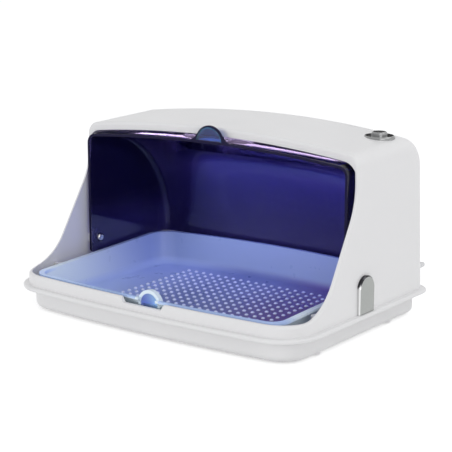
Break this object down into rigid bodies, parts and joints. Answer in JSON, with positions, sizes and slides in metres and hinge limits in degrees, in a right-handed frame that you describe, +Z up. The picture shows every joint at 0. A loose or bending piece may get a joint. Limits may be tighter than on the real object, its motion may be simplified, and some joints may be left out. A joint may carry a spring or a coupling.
{
  "type": "ultraviolet tool sterilizer",
  "caption": "Tabletop ultraviolet sterilizer cabinet with a swing-up clear blue cover, a white rounded hood, a lift-out dotted tray and a chrome push button.",
  "frame": {"origin": "under the middle of the base, on the surface the feet stand on", "axes": "+X to the right seen from the open front, +Y to the back, +Z up"},
  "size_m": [0.31, 0.325, 0.1684],
  "materials": {
    "white_plastic": "gloss white",
    "cover_plastic": "clear blue-violet, gloss",
    "tray_plastic": "light blue, satin",
    "chrome_trim": "bright",
    "steel": "plain",
    "washer_plastic": "natural",
    "bright_metal": "bright",
    "lamp_glass": "clear",
    "inner_plastic": "matt black",
    "ballast_case": "grey",
    "foot_rubber": "matt black",
    "cord_plastic": "satin white"
  },
  "bodies": {
    "cabinet": {"ballast": "ballast_case", "ballast_screw_1": "steel", "ballast_screw_2": "steel", "base_pan": "white_plastic", "base_screw_1": "steel", "base_screw_2": "steel", "base_screw_3": "steel", "base_screw_4": "steel", "boot_nut": "inner_plastic", "button_bezel": "chrome_trim", "cord_boot": "cord_plastic", "cord_coil": "cord_plastic", "cord_tie": "cord_plastic", "foot_1": "foot_rubber", "foot_2": "foot_rubber", "foot_3": "foot_rubber", "foot_4": "foot_rubber", "hood_shell": "white_plastic", "interlock_switch": "inner_plastic", "lamp_cap_1": "bright_metal", "lamp_cap_2": "bright_metal", "lamp_glass": "lamp_glass", "lamp_holder_left": "inner_plastic", "lamp_holder_right": "inner_plastic", "lamp_pin_1": "steel", "lamp_pin_2": "steel", "lamp_pin_3": "steel", "lamp_pin_4": "steel", "pivot_plate_left": "chrome_trim", "pivot_plate_right": "chrome_trim", "pivot_screw_left": "steel", "pivot_screw_right": "steel", "pivot_washer_left": "washer_plastic", "pivot_washer_right": "washer_plastic", "plug_body": "cord_plastic", "plug_pin_1": "steel", "plug_pin_2": "steel", "power_cord": "cord_plastic", "push_switch": "inner_plastic", "reflector": "bright_metal", "terminal_block": "inner_plastic"},
    "cover": {"cover": "cover_plastic"},
    "tray": {"tray": "tray_plastic"},
    "button": {"power_button": "chrome_trim"}
  },
  "joints": [
    {"name": "cover_hinge", "type": "hinge", "parent": "cabinet", "child": "cover", "pos_m": [0, -0.003, 0.048], "axis": [1, 0, 0], "range_deg": [0, 90]},
    {"name": "tray_lift", "type": "slide", "parent": "cabinet", "child": "tray", "axis": [0, 0, 1], "range_m": [0, 0.03]},
    {"name": "button_press", "type": "slide", "parent": "cabinet", "child": "button", "axis": [0, 0, -1], "range_m": [0, 0.0025], "stiffness_N_per_m": 400}
  ]
}
